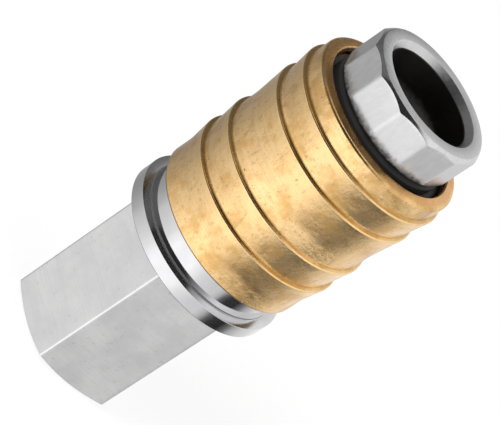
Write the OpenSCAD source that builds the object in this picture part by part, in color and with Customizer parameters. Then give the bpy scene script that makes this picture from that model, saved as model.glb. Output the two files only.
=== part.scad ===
// Sleeve-type quick coupler for compressed air, with a ball lock and a shut-off valve.
// The coupler stands on its inlet end: the origin is the centre of that face, and the axis is +Z.

/* [Inlet connector] */
// Hexagon across flats
hex_af = 22; // [21.5:0.1:24]
// Length of the hexagon
hex_len = 26.1; // [18:0.1:32]
// Width of the end chamfer on the hexagon's flats
hex_chamfer = 0.7; // [0.3:0.05:1]
// Angle of the hexagon's end chamfer
hex_chamfer_angle = 25; // [15:1:45]
// Minor radius of the female inlet thread
inlet_r = 7.475; // [7:0.005:7.6]
// Depth of the inlet thread
inlet_len = 12; // [9:0.5:15]
// Countersink at the mouth of the inlet thread
inlet_countersink = 1; // [0.4:0.1:1.5]
// Width of the ledge that carries the valve guide
guide_ledge = 0.8; // [0.5:0.05:1]
// Depth of that ledge past the collar's rear face
guide_ledge_depth = 2; // [1:0.1:3]
// Step from the seal bore up to the screw thread that joins connector and body
joint_thread_step = 0.9; // [0.7:0.05:1]
// Length of that screw thread
joint_thread_len = 5.6; // [4:0.1:6]
// Wall of the thin tube at the front of the connector
tube_wall = 0.55; // [0.4:0.05:0.7]

/* [Collar and shoulder] */
// How far the polished collar stands out past the sleeve's bands
collar_stand = 0.4; // [0.2:0.05:1.5]
// Thickness of the collar
collar_len = 2.4; // [1.8:0.05:3]
// Chamfer on the collar's rear edge
collar_rear_chamfer = 0.1; // [0.05:0.05:0.5]
// Chamfer on the collar's front edge
collar_chamfer = 0.45; // [0.2:0.05:0.8]
// Radius of the hollow fillet between collar and cylinder
shoulder_fillet = 0.4; // [0.2:0.05:0.4]
// Length of the polished cylinder that the sleeve's skirt covers at rest
skirt_cover = 2.65; // [2:0.05:4]

/* [Barrel and nose] */
// Radius of the socket that takes the plug
socket_r = 7.88; // [7.6:0.02:8]
// Widening at the socket's mouth
mouth_widening = 0.68; // [0.3:0.02:1]
// Depth of the chamfer at the socket's mouth
mouth_depth = 1; // [0.5:0.05:1.5]
// Relief of the socket behind its guide bore, where the balls are
socket_relief = 0.2; // [0.18:0.02:0.3]
// Step from the socket up to the bore behind it that holds the seals
cavity_step = 1.72; // [1.6:0.02:1.9]
// How far the corners of the twelve-sided nose stay inside the barrel's radius
nose_inset = 0.3; // [0.1:0.05:0.4]
// Length of the nose in front of the sleeve
nose_len = 7.45; // [6:0.05:10]
// Height of the chamfer at the nose's front edge
nose_chamfer = 0.7; // [0.4:0.05:1.2]
// Length of that chamfer
nose_chamfer_len = 0.8; // [0.4:0.05:1.2]
// How far the neck behind the flats stays inside the barrel's radius
neck_inset = 0.55; // [0.45:0.05:0.8]
// Depth of the groove between neck and flats
neck_groove = 0.35; // [0.2:0.05:0.5]
// Distance from the sleeve's front to that groove
neck_groove_gap = 0.4; // [0.3:0.05:1]

/* [Release sleeve] */
// Wall of the sleeve's skirt
sleeve_wall = 1.14; // [0.9:0.02:1.6]
// Height of a grip ridge above its band
ridge_h = 0.55; // [0.3:0.05:1]
// Rounding of a ridge's lip
lip_r = 0.25; // [0.2:0.05:0.6]
// Length of the rear band, from the sleeve's rear edge to the first step
rear_band = 7.65; // [7:0.05:10]
// Length of the second band
second_band = 5.25; // [4:0.05:7]
// Length of the long grip band
long_band = 9.05; // [8.5:0.05:12]
// Length of the fourth band
fourth_band = 4.9; // [4:0.05:6]
// Length of the front band
front_band = 3.05; // [2.6:0.05:4]
// Length of the straight stretch of the rear and the long band
straight_band = 3; // [1:0.1:4]
// How far the front band stays below the others
front_band_drop = 0.05; // [0:0.05:0.3]
// Rounding of the sleeve's front rim
rim_round = 0.5; // [0.3:0.05:1.2]
// Rounding of the sleeve's rear edge
rear_round = 0.25; // [0.2:0.05:0.5]
// Step from the guide lip up to the sleeve's front opening
opening_step = 0.49; // [0.4:0.01:0.7]
// Depth of the sleeve's front opening
opening_depth = 2.25; // [1.6:0.05:2.6]
// Thickness of the guide lip behind the opening
guide_lip = 1.1; // [0.8:0.05:1.5]
// Length of the sleeve's slide
sleeve_travel = 3.4; // [3.2:0.05:3.6]

/* [Ball lock] */
// Radius of a locking ball
ball_r = 2.38; // [2.2:0.01:2.5]
// How far a locked ball stands into the socket
ball_stand = 1.24; // [1:0.02:1.3]
// How far a released ball draws back behind the socket's wall
ball_spare = 0.06; // [0.02:0.01:0.1]
// Length of the lock land behind the balls
land_tail = 1.42; // [1:0.02:2]

/* [Valve and seals] */
// Thickness of the plug seal
plug_seal_len = 2.4; // [2:0.1:2.8]
// How far the lip of the plug seal stands into the socket
plug_seal_stand = 0.38; // [0.2:0.02:0.6]
// Wall of the body between the plug seal and the ball pockets
seal_wall = 1.37; // [1:0.01:2]
// Length of the valve seat ring
seat_ring_len = 5; // [4.4:0.1:5.6]
// Step from the socket's radius down to the valve opening
valve_opening_step = 1.28; // [1:0.02:1.6]
// Length of the valve opening's straight and conical stretch
valve_opening_len = 2.4; // [2:0.1:2.8]
// Width of the conical valve seat, along the radius
seat_width = 0.95; // [0.8:0.05:1.05]
// Thickness of the valve disc at its rim
disc_len = 1.4; // [1.2:0.1:1.8]
// Radius of the valve stem
stem_r = 1.5; // [1.2:0.05:2]
// Section radius of the valve's O-ring
valve_ring_r = 0.75; // [0.6:0.05:0.8]
// Section radius of the connector's O-ring
joint_ring_r = 0.7; // [0.6:0.02:0.72]
// Opening travel of the valve
valve_travel = 3; // [2:0.1:3]

/* [Springs and rings] */
// Wire diameter of the sleeve's spring
sleeve_wire = 1.1; // [0.9:0.05:1.3]
// Number of turns of the sleeve's spring
sleeve_turns = 6.5; // [5:0.5:7]
// Wire diameter of the valve's spring
valve_wire = 0.7; // [0.5:0.05:0.9]
// Number of turns of the valve's spring
valve_turns = 5.5; // [4:0.5:7]
// Mean radius of the valve's spring
valve_spring_r = 4.3; // [4:0.05:4.6]
// Thickness of the thrust ring
thrust_len = 1; // [0.8:0.05:1.4]
// Thickness of the stop ring
stop_len = 1; // [0.8:0.05:1.2]
// Depth of the stop ring's groove in the barrel
stop_groove = 0.9; // [0.8:0.05:1]
// Width of the gap in the stop ring
stop_gap = 3; // [2:0.1:5]

/* [Clearances] */
// Radial running clearance of a sliding fit
fit_gap = 0.06; // [0.03:0.01:0.08]
// Radial clearance of a ball in its pocket
ball_gap = 0.05; // [0.03:0.01:0.08]
// Radial clearance of the sleeve's spring on each side
spring_gap = 0.15; // [0.1:0.01:0.2]
// Radial clearance of the thrust ring on each side
thrust_gap = 0.1; // [0.06:0.01:0.12]
// Clearance between a moving piece and what it only passes
free_gap = 0.2; // [0.15:0.05:0.25]
// Radial clearance of a fixed piece in its seat
seat_gap = 0.05; // [0.02:0.01:0.08]
// Gap that the closed valve's seal leaves at its seat
closed_gap = 0.05; // [0.02:0.01:0.1]

/* [Hidden] */
$fn = 96;
// cuts run this far past the faces they open
past = 1;
// one locking ball for each of the eight ball nodes
ball_count = 8;

// radii, from the socket outwards
barrel_r = socket_r + 2 * ball_r - ball_stand;
nose_r = barrel_r - nose_inset;
nose_face_r = nose_r - nose_chamfer;
neck_r = barrel_r - neck_inset;
mouth_r = socket_r + mouth_widening;
relief_r = socket_r + socket_relief;
cavity_r = socket_r + cavity_step;
joint_thread_r = cavity_r + joint_thread_step;
skirt_seat_r = barrel_r + sleeve_wire + 2 * spring_gap;
skirt_r = skirt_seat_r + fit_gap;
band_r = skirt_r + sleeve_wall;
front_band_r = band_r - front_band_drop;
collar_r = band_r + collar_stand;
valve_opening_r = socket_r - valve_opening_step;
// the air passage is as wide as the valve's opening
passage_r = valve_opening_r;
guide_chamber_r = passage_r + guide_ledge;

// stations along the axis, from the inlet face up
collar_z = hex_len;
collar_front_z = collar_z + collar_len;
shoulder_z = collar_front_z + shoulder_fillet;
stroke_room = 0.55;
sleeve_z = collar_front_z + sleeve_travel + stroke_room;
barrel_z = sleeve_z + skirt_cover;
step_1_z = sleeve_z + rear_band;
step_2_z = step_1_z + second_band;
step_3_z = step_2_z + long_band;
step_4_z = step_3_z + fourth_band;
sleeve_front_z = step_4_z + front_band;
stop_z = sleeve_front_z - opening_depth;
lip_z = stop_z - guide_lip;
nose_z = sleeve_front_z + nose_len;

// ball lock: the pocket is cut by a ball-nosed cutter, and the ball stands out into the socket
ball_orbit_r = barrel_r - ball_r;
pocket_r = ball_r + ball_gap;
land_r = barrel_r + fit_gap;
opening_r = land_r + opening_step;
ball_lift = ball_stand + ball_spare;
release_r = barrel_r + ball_lift + 2 * ball_gap;
cap_half = sqrt(ball_r * ball_r - (ball_r - ball_lift) * (ball_r - ball_lift));
ball_z = lip_z - sleeve_travel - cap_half - 3 * ball_gap;
// the ramp lies along the path of a ball that leaves the land at a steady rate
ramp = ball_lift / sleeve_travel;
ramp_len = sqrt(1 + ramp * ramp);
ramp_rise = ball_r * (ramp_len - 1) + ball_gap * ramp_len;
ramp_z = ball_z + (fit_gap - ramp_rise) / ramp;
ramp_end_z = ball_z + (release_r - barrel_r - ramp_rise) / ramp;
land_z = ball_z - ball_r - land_tail;
relief_z = ball_z + pocket_r + free_gap;
thrust_z = land_z - thrust_len;

// valve, seals and the connector's inner stations
seal_front_z = ball_z - pocket_r - seal_wall;
seat_front_z = seal_front_z - plug_seal_len;
seat_rear_z = seat_front_z - seat_ring_len;
seat_line = valve_opening_r + seat_width + seat_rear_z;
insert_r = cavity_r - seat_gap;
tube_r = insert_r - tube_wall;
guide_z = collar_z + guide_ledge_depth;
guide_len = 1.5;
thread_end_z = collar_z + joint_thread_len;
groove_z = thread_end_z + 0.8;
groove_len = 2 * joint_ring_r + 0.4;
groove_r = insert_r - 2 * joint_ring_r;
tube_z = groove_z + groove_len + 0.2;
// metal faces of the closed valve stay this far apart, and the O-ring bridges them
valve_metal_gap = 0.25;
disc_r = valve_opening_r + 1;
cone_line = seat_line - valve_metal_gap * sqrt(2);
ring_line = seat_line - (valve_ring_r + closed_gap) * sqrt(2);
ring_orbit_r = valve_opening_r;
ring_z = ring_line - ring_orbit_r;
disc_rim_z = cone_line - disc_r;
disc_z = disc_rim_z - disc_len;
crown_r = valve_opening_r - 0.7;
crown_base_z = cone_line - crown_r - free_gap;
crown_wall = 1.3;
crown_z = seat_rear_z + valve_opening_len + free_gap + valve_travel;
crown_slot = 3;
stem_end_z = guide_z - 0.6;
stem_hole_r = stem_r + fit_gap;
pilot_r = valve_spring_r - valve_wire / 2 - free_gap;

// points along an arc around c, from angle a0 to a1
function arc(c, r, a0, a1, n = 8) =
  [for (i = [0:n]) c + r * [cos(a0 + (a1 - a0) * i / n), sin(a0 + (a1 - a0) * i / n)]];

// one grip band: a straight stretch, a cone that rises to the ridge, its rounded lip and the step
function band(z0, z1, straight) =
  let (lip = [band_r + ridge_h - lip_r, z1 - 0.1 - lip_r])
  concat([[band_r, z0], [band_r, z0 + straight]], arc(lip, lip_r, -8, 78), [[band_r, z1]]);

// a solid of revolution from points [radius, height]
module turned(points) rotate_extrude() polygon(points);

// a plain ring
module ring(r_out, r_in, z0, z1) turned([[r_in, z0], [r_out, z0], [r_out, z1], [r_in, z1]]);

// an O-ring
module o_ring(orbit, section, z) rotate_extrude() translate([orbit, z]) circle(section, $fn = 48);

// a turned ball pocket, open to the outside, for the ball on the +X side
module pocket() {
  translate([ball_orbit_r, 0, ball_z]) sphere(pocket_r);
  translate([ball_orbit_r, 0, ball_z]) rotate([0, 90, 0]) cylinder(r = pocket_r, h = barrel_r);
}

module coupler_body() color([0.72, 0.73, 0.74]) {
  groove_floor = barrel_r - stop_groove;
  neck_floor = neck_r - neck_groove;
  neck_floor_z = sleeve_front_z + neck_groove_gap;
  // the nose is turned from a blank that is wider than its corners, and then gets twelve flats
  blank_r = nose_r + 0.4;
  blank_chamfer_len = nose_chamfer_len * (blank_r - nose_face_r) / (nose_r - nose_face_r);
  difference() {
    // the profile is turned from a half plane that lies between the nose's corners and the pockets
    rotate([0, 0, 22.5]) turned(concat(
      [[joint_thread_r + 0.4, collar_z], [collar_r - collar_rear_chamfer, collar_z],
       [collar_r, collar_z + collar_rear_chamfer], [collar_r, collar_front_z - collar_chamfer],
       [collar_r - collar_chamfer, collar_front_z]],
      arc([skirt_seat_r + shoulder_fillet, shoulder_z], shoulder_fillet, -90, -180),
      [[skirt_seat_r, barrel_z - 0.3], [skirt_seat_r - 0.3, barrel_z], [barrel_r, barrel_z],
       [barrel_r, stop_z], [groove_floor, stop_z], [groove_floor, stop_z + stop_len],
       [neck_r, stop_z + stop_len], [neck_r, neck_floor_z - 0.5],
       [neck_floor, neck_floor_z - 0.1], [neck_floor, neck_floor_z + 0.1],
       [blank_r, neck_floor_z + 0.1 + blank_r - neck_floor], [blank_r, nose_z - blank_chamfer_len],
       [nose_face_r, nose_z], [mouth_r, nose_z], [socket_r, nose_z - mouth_depth],
       [socket_r, relief_z], [relief_r, relief_z - socket_relief], [relief_r, seal_front_z],
       [cavity_r, seal_front_z], [cavity_r, thread_end_z + 0.4],
       [joint_thread_r, thread_end_z], [joint_thread_r, collar_z + 0.4]]));
    translate([0, 0, neck_floor_z]) difference() {
      cylinder(r = blank_r + past, h = nose_len);
      translate([0, 0, -past]) rotate([0, 0, 30])
        cylinder(r = nose_r, h = nose_len + 2 * past, $fn = 12);
    }
    for (i = [0:ball_count - 1]) rotate([0, 0, i * 360 / ball_count]) pocket();
  }
}

module inlet_connector() color([0.78, 0.78, 0.78]) {
  face_r = hex_af / 2 - hex_chamfer;
  corner_r = hex_af / sqrt(3);
  chamfer_len = (corner_r + past - face_r) * tan(hex_chamfer_angle);
  difference() {
    union() {
      intersection() {
        rotate([0, 0, 30]) cylinder(r = corner_r, h = hex_len, $fn = 6);
        turned([[0, 0], [face_r, 0], [corner_r + past, chamfer_len], [corner_r + past, hex_len],
          [0, hex_len]]);
      }
      turned([[0, hex_len - past], [joint_thread_r - 0.6, hex_len - past],
        [joint_thread_r - 0.6, collar_z + 0.6], [joint_thread_r - seat_gap, collar_z + 1.2],
        [joint_thread_r - seat_gap, thread_end_z - 0.6], [insert_r, thread_end_z - 0.2],
        [insert_r, groove_z], [groove_r, groove_z], [groove_r, groove_z + groove_len],
        [insert_r, groove_z + groove_len], [insert_r, seat_rear_z], [0, seat_rear_z]]);
    }
    turned([[0, -past], [inlet_r + inlet_countersink + past, -past],
      [inlet_r, inlet_countersink], [inlet_r, inlet_len], [passage_r, inlet_len + 1],
      [passage_r, guide_z], [guide_chamber_r, guide_z], [guide_chamber_r, tube_z],
      [tube_r, tube_z + 0.6], [tube_r, seat_rear_z + past], [0, seat_rear_z + past]]);
  }
}

module connector_o_ring() color([0.08, 0.08, 0.08])
  o_ring(insert_r - joint_ring_r, joint_ring_r, groove_z + groove_len / 2);

module plug_seal() color([0.08, 0.08, 0.08]) {
  lip_section = plug_seal_len / 2 - 0.2;
  lip_orbit_r = socket_r - plug_seal_stand + lip_section;
  rotate_extrude() union() {
    translate([lip_orbit_r, seat_front_z]) square([insert_r - lip_orbit_r, plug_seal_len]);
    translate([lip_orbit_r, seat_front_z + plug_seal_len / 2]) circle(lip_section, $fn = 48);
  }
}

module valve_seat_ring() color([0.82, 0.66, 0.38])
  turned([[valve_opening_r + seat_width, seat_rear_z], [insert_r, seat_rear_z],
    [insert_r, seat_front_z], [relief_r, seat_front_z], [relief_r, seat_rear_z + valve_opening_len],
    [valve_opening_r, seat_rear_z + valve_opening_len],
    [valve_opening_r, seat_rear_z + seat_width]]);

module valve_poppet() color([0.82, 0.66, 0.38]) difference() {
  turned([[0, stem_end_z], [stem_r - 0.3, stem_end_z], [stem_r, stem_end_z + 0.3],
    [stem_r, disc_z - 1.2], [pilot_r, disc_z - 1], [pilot_r, disc_z], [disc_r, disc_z],
    [disc_r, disc_rim_z], [crown_r + free_gap, crown_base_z], [crown_r, crown_base_z],
    [crown_r, crown_z], [crown_r - crown_wall, crown_z],
    [crown_r - crown_wall, crown_base_z], [0, crown_base_z]]);
  rotate_extrude() translate([ring_orbit_r, ring_z]) circle(valve_ring_r + 0.02, $fn = 48);
  for (a = [0, 90]) rotate([0, 0, a])
    translate([-crown_r - past, -crown_slot / 2, crown_base_z + 0.6])
      cube([2 * (crown_r + past), crown_slot, crown_z]);
}

module valve_o_ring() color([0.08, 0.08, 0.08]) o_ring(ring_orbit_r, valve_ring_r, ring_z);

// a compression spring between z0 and z1, with a closed turn at each end
module spring(r, wire, turns, z0, z1, per_turn, sides = 8) {
  end_pitch = wire * 1.08;
  low = z0 + wire / 2;
  pitch = (z1 - z0 - wire - 2 * end_pitch) / (turns - 2);
  steps = round(turns * per_turn);
  function wire_z(t) = t < 1 ? low + t * end_pitch
    : t > turns - 1 ? z1 - wire / 2 - (turns - t) * end_pitch
    : low + end_pitch + (t - 1) * pitch;
  points = [for (i = [0:steps]) let (t = i * turns / steps, a = 360 * t)
    for (k = [0:sides - 1]) let (b = 360 * (k + 0.5) / sides, q = r + wire / 2 * cos(b))
      [q * cos(a), q * sin(a), wire_z(t) + wire / 2 * sin(b)]];
  walls = [for (i = [0:steps - 1], k = [0:sides - 1]) let (n = (k + 1) % sides)
    [i * sides + k, i * sides + n, (i + 1) * sides + n, (i + 1) * sides + k]];
  cap = [for (k = [0:sides - 1]) k];
  polyhedron(points, concat([[for (k = [sides - 1:-1:0]) k]], walls,
    [[for (k = cap) steps * sides + k]]));
}

module valve_spring() color([0.7, 0.7, 0.72])
  spring(valve_spring_r, valve_wire, valve_turns, guide_z + guide_len, disc_z, 24);

module valve_guide() color([0.82, 0.66, 0.38]) {
  rim_r = guide_chamber_r - seat_gap;
  rim_wall = 1.15;
  hub_r = stem_r + 1.3;
  spoke_w = 1.6;
  difference() {
    union() {
      ring(rim_r, rim_r - rim_wall, guide_z, guide_z + guide_len);
      translate([0, 0, guide_z]) cylinder(r = hub_r, h = guide_len + 1);
      for (a = [90, 210, 330]) rotate([0, 0, a])
        translate([hub_r - 0.4, -spoke_w / 2, guide_z])
          cube([rim_r - rim_wall / 2 - hub_r, spoke_w, guide_len]);
    }
    translate([0, 0, guide_z - past]) cylinder(r = stem_hole_r, h = guide_len + 1 + 2 * past);
  }
}

module release_sleeve() color([0.85, 0.68, 0.42]) {
  rim = [front_band_r - rim_round, sleeve_front_z - rim_round];
  heel = [band_r - rear_round, sleeve_z + rear_round];
  skirt_chamfer = (band_r - rear_round - skirt_r) / 2;
  turned(concat(
    [[skirt_r, sleeve_z + skirt_chamfer], [skirt_r + skirt_chamfer, sleeve_z]],
    arc(heel, rear_round, -90, 0),
    band(sleeve_z + rear_round + 0.1, step_1_z, straight_band),
    band(step_1_z + 0.1, step_2_z, 0.4),
    band(step_2_z + 0.1, step_3_z, straight_band),
    band(step_3_z + 0.1, step_4_z, 0.4),
    [[front_band_r, step_4_z + 0.1]],
    arc(rim, rim_round, 0, 90),
    [[opening_r + 0.2, sleeve_front_z], [opening_r, sleeve_front_z - 0.2],
     [opening_r, stop_z], [land_r, stop_z], [land_r, lip_z], [release_r, lip_z],
     [release_r, ramp_end_z], [land_r, ramp_z], [land_r, land_z], [skirt_r, land_z]]));
}

module sleeve_spring() color([0.7, 0.7, 0.72])
  spring((barrel_r + skirt_r) / 2, sleeve_wire, sleeve_turns, barrel_z, thrust_z, 30);

module thrust_ring() color([0.8, 0.81, 0.82])
  ring(skirt_r - thrust_gap, barrel_r + thrust_gap, thrust_z, land_z);

module stop_ring() color([0.1, 0.1, 0.1]) difference() {
  ring(opening_r - free_gap, barrel_r - stop_groove, stop_z, stop_z + stop_len);
  translate([-stop_gap / 2, 0, stop_z - past]) cube([stop_gap, opening_r + past, stop_len + 2 * past]);
}

// one locking ball, at place i around the barrel
module locking_ball(i) color([0.85, 0.86, 0.88])
  rotate([0, 0, i * 360 / ball_count]) translate([ball_orbit_r, 0, ball_z]) sphere(ball_r);

coupler_body();
inlet_connector();
connector_o_ring();
plug_seal();
valve_seat_ring();
valve_poppet();
valve_o_ring();
valve_spring();
valve_guide();
release_sleeve();
sleeve_spring();
thrust_ring();
stop_ring();
locking_ball(0);  // locking_ball_1
locking_ball(1);  // locking_ball_2
locking_ball(2);  // locking_ball_3
locking_ball(3);  // locking_ball_4
locking_ball(4);  // locking_ball_5
locking_ball(5);  // locking_ball_6
locking_ball(6);  // locking_ball_7
locking_ball(7);  // locking_ball_8
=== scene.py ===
# %% [markdown]
# # A quick coupler for compressed air
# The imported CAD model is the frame: it holds every size and every joint. Blender only adds looks, so
# each new piece below repeats the CAD's stations along the axis and rides on a CAD body.
# The coupler stands on its inlet end, with its axis along +Z.

# %% Load the frame
import math
import bmesh
import bpy
import numpy as np
from mathutils import Matrix


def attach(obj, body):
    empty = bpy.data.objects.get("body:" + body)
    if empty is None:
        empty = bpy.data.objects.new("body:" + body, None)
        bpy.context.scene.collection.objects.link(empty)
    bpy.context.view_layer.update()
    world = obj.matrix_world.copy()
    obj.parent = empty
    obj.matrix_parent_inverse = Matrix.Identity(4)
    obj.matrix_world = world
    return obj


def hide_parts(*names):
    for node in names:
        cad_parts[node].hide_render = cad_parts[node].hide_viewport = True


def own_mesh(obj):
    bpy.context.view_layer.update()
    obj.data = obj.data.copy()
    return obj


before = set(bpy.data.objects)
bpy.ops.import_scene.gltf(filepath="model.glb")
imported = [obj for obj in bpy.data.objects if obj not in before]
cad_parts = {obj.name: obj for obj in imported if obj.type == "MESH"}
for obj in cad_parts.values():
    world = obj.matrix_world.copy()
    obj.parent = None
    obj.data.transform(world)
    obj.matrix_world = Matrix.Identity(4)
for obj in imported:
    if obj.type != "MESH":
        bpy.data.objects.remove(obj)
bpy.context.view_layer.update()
MM = 0.001

# %% [markdown]
# ## The camera
# A photograph of a long turned part can be measured from its ellipses. That gave the axis' tilt from
# the line of sight, its turn in the picture and the distance, with a long lens. The three axes of the
# coupler are written here as the camera sees them, and the camera's place follows from them. The fit
# was made round the sleeve's middle and in units of its own, so it is moved back and scaled first.

# %% Camera
TILT, TURN, ROLL = math.radians(61.851), math.radians(33.945), math.radians(-181.55)
FOCAL_PX, IMAGE_PX, SENSOR = 2300, 500, 36
FIT_CENTRE, FIT_BACK, FIT_SCALE = np.array([-2.005, -1.962, -332.911]), 33.31, 0.991
axis_z = np.array([math.sin(TILT) * math.cos(TURN), math.sin(TILT) * math.sin(TURN), math.cos(TILT)])
side_u = np.array([-math.sin(TURN), math.cos(TURN), 0])
side_v = np.cross(axis_z, side_u)
axis_x = math.cos(ROLL) * side_u + math.sin(ROLL) * side_v
axis_y = np.cross(axis_z, axis_x)
row_axes = np.array([axis_x, axis_y, axis_z])
inlet_centre = FIT_CENTRE - FIT_BACK * axis_z
eye = -row_axes @ inlet_centre * FIT_SCALE * MM
camera_data = bpy.data.cameras.new("camera")
camera_data.lens = FOCAL_PX / IMAGE_PX * SENSOR
camera_data.sensor_width = SENSOR
camera_data.clip_start, camera_data.clip_end = 0.01, 20
camera = bpy.data.objects.new("camera", camera_data)
bpy.context.scene.collection.objects.link(camera)
place = np.eye(4)
place[:3, :3], place[:3, 3] = row_axes, eye
camera.matrix_world = Matrix(place.tolist())
bpy.context.scene.camera = camera
bpy.context.scene.view_settings.view_transform = "Standard"
print("camera at", eye.round(4), "m, lens", round(camera_data.lens, 1), "mm")

# %% [markdown]
# ## How the pieces are made
# Nearly every piece is turned on a lathe, so one surface serves them all: a closed outline in the
# half plane (radius, height), carried round the axis. The outline may change with the angle, which
# makes flats, a hexagon and a screw thread out of the same grid. A helper builds the mesh from such a
# grid, merges the points that fall together and marks the sharp edges, and another ties the finished
# piece to the CAD body that carries it.

# %% A mesh from a grid of points
MERGE, SLIVER = 0.0002 * MM, 0.00001 * MM


def wrap_faces(rows, columns, close_rows=True, close_columns=True):
    """Quads between neighbours on a grid, as index rows: (i, j), (i+1, j), (i+1, j+1), (i, j+1)."""
    i, j = np.meshgrid(np.arange(rows if close_rows else rows - 1),
                       np.arange(columns if close_columns else columns - 1), indexing="ij")
    k, n = (i + 1) % rows, (j + 1) % columns
    return np.stack([i * columns + j, k * columns + j, k * columns + n, i * columns + n], -1).reshape(-1, 4)


def finish_mesh(piece, smooth_angle):
    """Closes seams and poles by merging doubles, then marks edges sharper than the angle."""
    work = bmesh.new()
    work.from_mesh(piece.data)
    bmesh.ops.remove_doubles(work, verts=work.verts, dist=MERGE)
    bmesh.ops.dissolve_degenerate(work, edges=work.edges, dist=SLIVER)
    work.to_mesh(piece.data)
    work.free()
    piece.data.shade_smooth()
    piece.data.set_sharp_from_angle(angle=math.radians(smooth_angle))
    if "weighted normals" not in piece.modifiers:
        piece.modifiers.new("weighted normals", "WEIGHTED_NORMAL").keep_sharp = True


def piece_from(name, points, faces, material, smooth_angle=38):
    """Puts points (in mm) and lists of corners into a mesh, closes it and shades it smooth."""
    mesh = bpy.data.meshes.new(name)
    mesh.from_pydata((points.reshape(-1, 3) * MM).tolist(), [], faces)
    mesh.validate()
    piece = bpy.data.objects.new(name, mesh)
    bpy.context.scene.collection.objects.link(piece)
    finish_mesh(piece, smooth_angle)
    mesh.materials.append(material)
    return piece


def grid_piece(name, points, material, smooth_angle=38, close_rows=True, close_columns=True):
    """A piece from a grid of points, rows x columns x 3. Open rows of a closed section get end caps."""
    rows, columns = points.shape[:2]
    faces = wrap_faces(rows, columns, close_rows, close_columns).tolist()
    if close_columns and not close_rows:
        faces += [list(range(columns)), list(range((rows - 1) * columns, rows * columns))[::-1]]
    return piece_from(name, points, faces, material, smooth_angle)


def dress(piece, body, slot, *nodes):
    """Ties a piece to its CAD body and hides the CAD nodes that it stands for; slot, the finish's name, is
    not used.
    """
    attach(piece, body)
    if nodes:
        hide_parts(*nodes)
    print(piece.name, "on", body, len(piece.data.polygons), "faces")

# %% [markdown]
# ## Outlines with eased corners
# A real turned edge is never sharp: the tool leaves a tiny round that catches the light. Each corner
# of an outline is given as (radius, height, ease), and the corner is cut off by a small curve that
# leaves one edge and joins the next.

# %% Eased outlines and turned surfaces
def eased(corners, steps=4, closed=True):
    """Corner P becomes (1-t)^2 A + 2t(1-t) P + t^2 B, with A and B on its two edges, ease away from P."""
    c = np.array(corners, float)
    p, ease = c[:, :2], c[:, 2:3]
    back, on = np.roll(p, 1, 0) - p, np.roll(p, -1, 0) - p
    back_length = np.maximum(np.linalg.norm(back, axis=1, keepdims=True), 1e-9)
    on_length = np.maximum(np.linalg.norm(on, axis=1, keepdims=True), 1e-9)
    ease = np.minimum(ease, 0.45 * np.minimum(back_length, on_length))
    a, b = p + back / back_length * ease, p + on / on_length * ease
    t = np.linspace(0, 1, steps + 1)[None, :, None]
    curve = (1 - t) ** 2 * a[:, None] + 2 * t * (1 - t) * p[:, None] + t ** 2 * b[:, None]
    if not closed:
        curve[0], curve[-1] = p[0], p[-1]
    flat = curve.reshape(-1, 2)
    gap = np.linalg.norm(flat - np.roll(flat, 1, 0), axis=1)
    return flat[gap > 1e-6]


def arc_points(centre, radius, start, end, steps, ease):
    """Points centre + radius (cos a, sin a), for a from start to end in degrees, as outline corners."""
    a = np.radians(np.linspace(start, end, steps + 1))
    return [(centre[0] + radius * math.cos(x), centre[1] + radius * math.sin(x), ease) for x in a]


def around_axis(outline, angle):
    """(r cos a, r sin a, z), as a grid of angles x corners, from one outline (r, z) or one per angle."""
    r, z = np.broadcast_to(outline, (len(angle), *outline.shape[-2:])).transpose(2, 0, 1)
    a = angle[:, None]
    return np.stack([r * np.cos(a), r * np.sin(a), z], -1)


def full_turn(steps):
    """The angles of a full turn in equal steps, without the last one, which is the first again."""
    return np.arange(steps) * 2 * math.pi / steps


def turned(name, outline, material, around, closed=True):
    """An outline carried round the axis. An open one starts and ends on the axis."""
    return grid_piece(name, around_axis(outline, full_turn(around)), material, close_columns=closed)


def ring_section(inner, outer, low, high, ease):
    """A rectangle (radius, height) with eased corners, in turning order."""
    return eased([(inner, low, ease), (outer, low, ease), (outer, high, ease), (inner, high, ease)])

# %% [markdown]
# ## A short way to write materials
# Every finish here is a node tree on Object coordinates, so its pattern stays on the piece and has a
# real size. Three patterns do most of the work: lathe lines, which change fast along the axis and the
# radius but slowly round the piece; clouds of tarnish or wear; and small specks. Masks by height and
# radius put each finish on its own surface of a piece.

# %% Node helper
def add_node(tree, kind, values=(), **settings):
    """Makes a node with its settings; a socket given as a value becomes a link."""
    node = tree.nodes.new(kind)
    for key, value in settings.items():
        setattr(node, key, value)
    for key, value in dict(values).items():
        put_value(tree, node.inputs[key], value)
    return node


def put_value(tree, socket, value):
    """Links a socket to another one, or sets its constant."""
    if isinstance(value, bpy.types.NodeSocket):
        tree.links.new(value, socket)
    else:
        socket.default_value = value


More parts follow.
